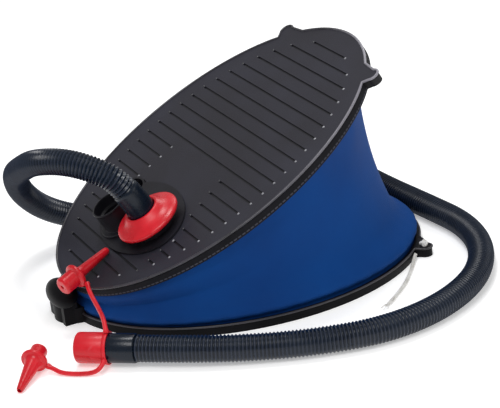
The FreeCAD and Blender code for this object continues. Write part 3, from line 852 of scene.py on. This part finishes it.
# A point of the fabric: turn runs round the plates, share runs from the base up to the pedal.
def bellowsPoint(turn, share):
    shape = bellowsSet
    across, along = math.sin(turn), math.cos(turn)
    low = mm * Vector((shape["baseHalf"][0] * along, shape["baseHalf"][1] * across,
                       shape["baseHeight"]))
    high = onPedal(shape["pedalMiddle"] + shape["pedalHalf"][0] * along, shape["pedalHalf"][1] * across,
                   shape["pedalHeight"])
    outward = Vector((along / shape["baseHalf"][0], across / shape["baseHalf"][1], 0)).normalized()
    gap = (high - low).length / mm
    size = gap / shape["tallest"]
    above = share * gap
    bulge = math.sin(math.pi * share)
    waist = shape["waist"] * size ** shape["waistGrowth"] * bulge ** shape["waistShape"]
    spill = (shape["spill"] * size * easeStep(above, *shape["spillFrom"])
             * math.exp(-((above - shape["spillAt"]) / shape["spillWide"]) ** 2))
    narrow = 1 - easeStep(gap, *shape["foldBelow"])
    fold = narrow * (shape["fold"] * abs(math.sin(2 * math.pi * share)) - shape["tuck"] * bulge)
    pleat = shape["pleat"] * math.sin(shape["pleats"] * turn) * (
        math.exp(-(gap - above) / shape["pleatTop"]) + math.exp(-above / shape["pleatFoot"]))
    patch = Vector((shape["slackRound"] * along, shape["slackRound"] * across,
                    shape["slackUp"] * share))
    slack = shape["slack"] * noise.noise(patch) * bulge
    held = easeStep(above, 0, shape["heldFoot"]) * easeStep(gap - above, 0, shape["heldTop"])
    return low.lerp(high, share) + mm * (spill - waist + fold + (pleat + slack) * held) * outward


# A closed ring of fabric with its flat cut as the UV map, in metres.
def ringSheet(name, pointAt, shareAt, rows):
    columns = bellowsSet["columns"]
    corners = []
    shares = []
    for row in range(rows + 1):
        for column in range(columns):
            turn = 2 * math.pi * column / columns
            corners.append(pointAt(turn, row / rows))
            shares.append(shareAt(turn, row / rows))
    mesh = bpy.data.meshes.new(name)
    mesh.from_pydata(corners, [], ringFaces(rows, columns))
    mesh.attributes.new("pedalShare", "FLOAT", "POINT").data.foreach_set("value", shares)
    around = [0]
    for column in range(columns):
        around.append(around[-1] + (corners[(column + 1) % columns] - corners[column]).length)
    flat = mesh.uv_layers.new(name="flatCut")
    for face in mesh.polygons:
        row, column = divmod(face.index, columns)
        for loop, (across, up) in zip(face.loop_indices, ((0, 0), (1, 0), (1, 1), (0, 1))):
            vertex = (row + up) * columns + (column + across) % columns
            height = (corners[vertex] - corners[(column + across) % columns]).length
            flat.data[loop].uv = (around[column + across], height)
    mesh.update()
    return addObject(name, mesh)


# Each point turns about the hinge by its own share of the pedal's angle.
def followBothPlates(piece):
    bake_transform(piece, "base", "pedal", start=(0, 0, 0), end=(0, 0, 1))
    mesh = piece.data
    shares = [0.0] * len(mesh.vertices)
    mesh.attributes["pedalShare"].data.foreach_get("value", shares)
    mesh.attributes["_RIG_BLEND"].data.foreach_set("value", shares)


# A point of the edge band: under the rim's lip, then up the outside of its wall.
def bandPoint(turn, share):
    profile = bandSet["profile"]
    step = min(int(share * (len(profile) - 1)), len(profile) - 2)
    part = share * (len(profile) - 1) - step
    out, up = (low + (high - low) * part for low, high in zip(profile[step], profile[step + 1]))
    return onPedal(bellowsSet["pedalMiddle"] + (bandSet["half"][0] + out) * math.cos(turn),
                   (bandSet["half"][1] + out) * math.sin(turn), up)


def makeBellows():
    skin = ringSheet("bellowsFabric", bellowsPoint, lambda turn, share: share, bellowsSet["rows"])
    applyModifier(skin, "SUBSURF", levels=1, render_levels=1)
    applyModifier(skin, "SOLIDIFY", thickness=bellowsSet["thickness"], offset=-1)
    softShade(skin, 70)
    finishPiece(skin, None, "blue_fabric", materials["fabric"], "bellows_skin")
    followBothPlates(skin)
    band = ringSheet("pedalEdgeBand", bandPoint, lambda turn, share: 1, len(bandSet["profile"]) * 2 - 2)
    applyModifier(band, "SOLIDIFY", thickness=bandSet["thickness"], offset=-1)
    softShade(band, 60)
    finishPiece(band, "pedal", "black_plastic", materials["binding"])
    around = bellowsSet["measuredAt"]
    turns = [2 * math.pi * step / around for step in range(around)]
    belt = [bellowsPoint(turn, 0.5) for turn in turns]
    girth = sum((a - b).length for a, b in zip(belt, belt[1:] + belt[:1]))
    heights = [(bellowsPoint(turn, 1) - bellowsPoint(turn, 0)).length for turn in turns]
    return girth, max(heights)


springSet = {"radius": 27, "wire": 0.0015, "turns": 6, "flat": 0.7, "along": 150, "low": 4.6,
             "high": 1.3, "sides": 14, "stepsPerTurn": 40}


# A point on the coil, and how far it is from the base's seat towards the pedal's.
def springPoint(turn):
    turns = springSet["turns"]
    angle = 2 * math.pi * turn
    across = springSet["radius"] * math.sin(angle)
    along = springSet["along"] + springSet["radius"] * math.cos(angle)
    share = min(max((turn - springSet["flat"]) / (turns - 2 * springSet["flat"]), 0), 1)
    low = mm * Vector((hingeAt.x / mm + along, across, springSet["low"] + turn / turns))
    return low.lerp(onPedal(along, across, springSet["high"] + turn / turns), share), share


# The coil between the seats, which closes up as the pedal comes down.
def makeSpring():
    steps = springSet["stepsPerTurn"] * springSet["turns"]
    stops = [springPoint(springSet["turns"] * step / steps) for step in range(steps + 1)]
    spring = sweptTube("returnSpring", [place for place, share in stops], range(steps + 1),
                       lambda distance: springSet["wire"], springSet["sides"])
    finishPiece(spring, None, "steel", materials["steel"], "coil_spring")
    blendAlong(spring, range(steps + 1), springSet["sides"], lambda step: stops[step][1])


makeSpring()
girth, tallest = makeBellows()
print("bellows ready: cut %.3f m round, %.3f m at its tallest" % (girth, tallest))


# Red soft plastic, sleeves and the open tube: turned pieces, extruded ring by ring.

# A ring turned about an axis, from a closed profile of (radius, height) in millimetres.
def turnedPiece(name, profile, origin, axis, edge=0.35, sides=72):
    clearSelection()
    radius, height = profile[0]
    bpy.ops.mesh.primitive_circle_add(vertices=sides, radius=mm * radius, location=(0, 0, 0))
    piece = bpy.context.object
    piece.name = name
    bpy.ops.object.mode_set(mode="EDIT")
    bpy.ops.mesh.select_all(action="SELECT")
    bpy.ops.transform.translate(value=(0, 0, mm * height))
    for nextRadius, nextHeight in profile[1:] + profile[:1]:
        bpy.ops.mesh.extrude_region_move(
            TRANSFORM_OT_translate={"value": (0, 0, mm * (nextHeight - height))})
        bpy.ops.transform.resize(value=(nextRadius / radius, nextRadius / radius, 1),
                                 center_override=(0, 0, mm * nextHeight))
        radius, height = nextRadius, nextHeight
    bpy.ops.mesh.select_all(action="SELECT")
    bpy.ops.mesh.remove_doubles(threshold=1e-5)
    bpy.ops.mesh.normals_make_consistent(inside=False)
    bpy.ops.object.mode_set(mode="OBJECT")
    turn = Vector((0, 0, 1)).rotation_difference(Vector(axis)).to_matrix().to_4x4()
    piece.data.transform(Matrix.Translation(origin) @ turn)
    if edge:
        applyModifier(piece, "BEVEL", width=mm * edge, segments=3, limit_method="ANGLE",
                      angle_limit=math.radians(28), use_clamp_overlap=True)
    softShade(piece, 32)
    return piece


collarProfile = [
    (8.5, 6.4), (12.9, 6.4), (12.9, 15.8), (23.8, 15.8), (25.1, 16.5), (25.5, 17.7), (25.2, 18.9),
    (24.1, 19.9), (21.4, 20.9), (18.4, 22.3), (15.9, 24.2), (14.2, 26.4), (13.2, 27.2), (12, 27.2),
    (11.2, 26.4), (10.9, 25), (10.8, 19), (8.5, 19),
]
endCuffProfile = [(8, 0), (10.3, 0), (10.65, 0.9), (10.65, 26), (8, 26)]
ringProfile = [(10.75, 0), (12.1, 0), (12.1, 2.6), (10.75, 2.6)]
connectorProfile = [
    (7, 3.4), (10.75, 3.4), (10.75, 0), (10.9, 0), (11.25, 0.8), (11.25, 19.6), (10.9, 20.8),
    (10.1, 21.5), (8.2, 21.5), (7, 20.6),
]
longNozzleProfile = [
    (1.5, 0), (5.6, 0), (6.8, 1.3), (6.8, 12.2), (8.9, 13), (9.5, 13.7), (9.5, 15.2), (8.9, 16),
    (6.9, 16.2), (5.4, 17.2), (4.5, 19), (4.1, 22), (2.9, 45.5), (2.6, 47.2), (2, 48), (1.5, 48),
]
shortNozzleProfile = [
    (1.5, 0), (4.8, 0), (6.0, 1), (6.2, 2.4), (6.2, 10.2), (9.1, 11), (9.7, 11.8), (9.7, 13.2),
    (9.1, 14), (7.3, 14.3), (6.2, 15.6), (5.5, 18), (2.6, 43), (2.1, 44.6), (1.5, 45),
]


tubeProfile = [
    (10, -9.8), (13, -9.8), (13, 9.1), (17, 9.1), (17, 10.4), (16.4, 11), (13.2, 11.2), (13.2, 26.6),
    (13.6, 27.2), (13.6, 28.2), (13.2, 28.7), (12.5, 28.7), (12.2, 28.2), (12.2, 21), (11.8, 20.2),
    (10.2, 19.8), (10, 19.2),
]


# The open tube beside the hose, with a thin lip and a step inside.
def makeDeflateTube():
    along, across, up = pedalSpace(Vector(mounts["deflate_port"]["pos_m"]))
    tube = turnedPiece("deflateTube", tubeProfile, onPedal(along, across, 0), pedalUp, edge=0.25)
    return finishPiece(tube, "pedal", "black_plastic", materials["panel"], "deflate_tube")


def makeCollar():
    collar = turnedPiece("hosePlugCollar", collarProfile, onPedal(*inflatePort, 0), pedalUp, edge=0.4)
    return finishPiece(collar, "pedal", "red_plastic", materials["red"], "hose_plug")


sleeveSet = {"from": 19, "step": 1.5, "steps": 10, "overHose": 0.0145, "spacing": 0.0007, "sides": 48,
             "radius": 0.01075, "taper": 0.00025, "taperFrom": 0.014, "rounding": 0.0006,
             "roundLength": 0.0015}


# A smooth flexible sleeve that runs out of the collar and over the first of the ribs.
def makePumpSleeve():
    below = [onPedal(*inflatePort, sleeveSet["from"] + sleeveSet["step"] * step)
             for step in range(sleeveSet["steps"])]
    over = [place for index, place in enumerate(hosePlaces)
            if index * hoseSet["ribPitch"] / hoseSet["stepsPerRib"] < sleeveSet["overHose"]]
    places, walked = walkLine(below + over, sleeveSet["spacing"])
    total = walked[-1]

    def radius(distance):
        taper = sleeveSet["taper"] * easeStep(distance, sleeveSet["taperFrom"], total)
        end = sleeveSet["rounding"] * easeStep(distance, total - sleeveSet["roundLength"], total)
        return sleeveSet["radius"] - taper - end

    sleeve = sweptTube("pumpEndSleeve", places, walked, radius, sleeveSet["sides"])
    return finishPiece(sleeve, "pedal", "hose_plastic", materials["hose"], "hose_cuff_pump_end")


freeEndSet = {"ringAt": 19.9, "connectorAt": 22.7}


def makeFreeEnd():
    sleeve = turnedPiece("nozzleEndSleeve", endCuffProfile, hoseEnd, endWay, edge=0.25)
    finishPiece(sleeve, "base", "hose_plastic", materials["hose"], "hose_cuff_nozzle_end")
    ring = turnedPiece("tetherRing", ringProfile, hoseEnd + mm * freeEndSet["ringAt"] * endWay,
                       endWay, edge=0.5)
    finishPiece(ring, "base", "red_plastic", materials["red"], "tether_ring")
    connector = turnedPiece("nozzleConnector", connectorProfile,
                            hoseEnd + mm * freeEndSet["connectorAt"] * endWay, endWay, edge=0.3)
    finishPiece(connector, "base", "red_plastic", materials["red"], "nozzle_connector")
    return [sleeve, ring, connector]


# A tapered nozzle whose tip is at its mount.
def makeNozzle(name, profile, body, mount, node):
    axis = Vector(mounts[mount]["axis"]).normalized()
    length = max(height for _, height in profile)
    origin = Vector(mounts[mount]["pos_m"]) - mm * length * axis
    nozzle = turnedPiece(name, profile, origin, axis, edge=0.3, sides=56)
    return finishPiece(nozzle, body, "red_plastic", materials["red"], node)


knotSet = {"stem": 0.0015, "strand": 0.00115, "sides": 12, "size": 0.0009, "flat": 1.3, "steps": 96,
           "stemTop": 0.003, "loopTop": 0.0026, "stemSpacing": 0.001, "loopSpacing": 0.0004}


# An overhand knot in the storage cord, on top of the base's ear.
def makeKnot():
    lowest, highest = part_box("cord_knot")
    middle = (lowest + highest) / 2
    stem = [Vector((middle.x, middle.y, height))
            for height in (lowest.z, middle.z, highest.z - knotSet["stemTop"])]
    places, walked = walkLine(stem, knotSet["stemSpacing"])
    pieces = [sweptTube("knotStem", places, walked, lambda distance: knotSet["stem"], knotSet["sides"])]
    centre = Vector((middle.x, middle.y, highest.z - knotSet["loopTop"]))
    loop = []
    for step in range(knotSet["steps"] + 1):
        turn = 2 * math.pi * step / knotSet["steps"]
        loop.append(centre + knotSet["size"] * Vector((
            math.sin(turn) + 2 * math.sin(2 * turn), math.cos(turn) - 2 * math.cos(2 * turn),
            -knotSet["flat"] * math.sin(3 * turn))))
    places, walked = walkLine(loop, knotSet["loopSpacing"])
    pieces.append(sweptTube("knotLoop", places, walked, lambda distance: knotSet["strand"],
                            knotSet["sides"]))
    return finishPiece(joinPieces("cordKnot", pieces), "base", "white_cord", materials["cord"],
                       "cord_knot")


collar = makeCollar()
makeDeflateTube()
pumpSleeve = makePumpSleeve()
freeEnd = makeFreeEnd()
longNozzle = makeNozzle("longNozzle", longNozzleProfile, "pedal", "long_nozzle_tip", "long_nozzle")
shortNozzle = makeNozzle("shortNozzle", shortNozzleProfile, "base", "short_nozzle_tip", "short_nozzle")
knot = makeKnot()
print("plug, sleeves, connector, nozzles and knot ready")


# The model's own plates stay, with a rounded bead laid along their outer edges.

beadSet = {"pedal": 0.95, "base": 0.8, "mergeWithin": 4e-6, "sharpFrom": 40, "smoothness": 3,
           "inside": (141, 112), "pedalHeight": 7.1, "pedalFrom": 8, "baseHeights": (6.9, 7.1),
           "baseFrom": -142}


def pastRim(along, across):
    return (along / beadSet["inside"][0]) ** 2 + (across / beadSet["inside"][1]) ** 2 > 1


def onPedalRim(place):
    along, across, up = pedalSpace(place)
    return (pastRim(along - bellowsSet["pedalMiddle"], across)
            and up > beadSet["pedalHeight"] and along > beadSet["pedalFrom"])


def onBaseRim(place):
    x, y, z = place / mm
    low, high = beadSet["baseHeights"]
    return pastRim(x, y) and low < z < high and x > beadSet["baseFrom"]


hoodSet = {"half": (10.5, 22, 9.4), "cutAt": -2.6, "thickness": 1.0, "edge": 0.0003}


# The pedal's rounded nose, a shell over the lugs and the pin.
def makeHingeHood():
    clearSelection()
    bpy.ops.mesh.primitive_uv_sphere_add(segments=64, ring_count=32, radius=mm, location=(0, 0, 0))
    hood = bpy.context.object
    hood.name = "hingeHood"
    bpy.ops.object.mode_set(mode="EDIT")
    bpy.ops.mesh.select_all(action="SELECT")
    bpy.ops.transform.resize(value=hoodSet["half"])
    bpy.ops.mesh.bisect(plane_co=(0, 0, mm * hoodSet["cutAt"]), plane_no=(0, 0, 1), clear_inner=True)
    bpy.ops.object.mode_set(mode="OBJECT")
    turn = Matrix((pedalAlong, (0, 1, 0), pedalUp)).transposed().to_4x4()
    hood.data.transform(Matrix.Translation(hingeAt) @ turn)
    applyModifier(hood, "SOLIDIFY", thickness=mm * hoodSet["thickness"], offset=-1)
    applyModifier(hood, "BEVEL", width=hoodSet["edge"], segments=2, limit_method="ANGLE",
                  angle_limit=math.radians(50))
    softShade(hood, 40)
    return finishPiece(hood, "pedal", "black_plastic", materials["rim"])


# A round bead along the chosen sharp edges of a model piece.
def edgeBead(nodeName, name, onRim, radius, body, look):
    source = addObject(name, nodes[nodeName].data.copy())
    pickOnly(source)
    bpy.ops.object.mode_set(mode="EDIT")
    bpy.ops.mesh.select_mode(type="EDGE")
    bpy.ops.mesh.select_all(action="SELECT")
    bpy.ops.mesh.remove_doubles(threshold=beadSet["mergeWithin"])
    bpy.ops.mesh.select_all(action="DESELECT")
    bpy.ops.mesh.edges_select_sharp(sharpness=math.radians(beadSet["sharpFrom"]))
    bpy.ops.object.mode_set(mode="OBJECT")
    mesh = source.data
    chosen = [edge.select and all(onRim(mesh.vertices[index].co) for index in edge.vertices)
              for edge in mesh.edges]
    for vertex in mesh.vertices:
        vertex.select = False
    for face in mesh.polygons:
        face.select = False
    for edge, choice in zip(mesh.edges, chosen):
        edge.select = choice
        for index in edge.vertices:
            mesh.vertices[index].select |= choice
    bpy.ops.object.mode_set(mode="EDIT")
    bpy.ops.mesh.select_all(action="INVERT")
    bpy.ops.mesh.delete(type="EDGE")
    bpy.ops.object.mode_set(mode="OBJECT")
    bpy.ops.object.convert(target="CURVE")
    bead = bpy.context.object
    bead.data.bevel_depth = mm * radius
    bead.data.bevel_resolution = beadSet["smoothness"]
    bead.data.use_fill_caps = True
    bpy.ops.object.convert(target="MESH")
    bead = bpy.context.object
    softShade(bead, 60)
    return finishPiece(bead, body, "black_plastic", materials[look])


makeHingeHood()
edgeBead("pedal_plate", "pedalRimBead", onPedalRim, beadSet["pedal"], "pedal", "bead")
edgeBead("base_plate", "baseRimBead", onBaseRim, beadSet["base"], "base", "baseBead")
print("hood and edge beads ready")
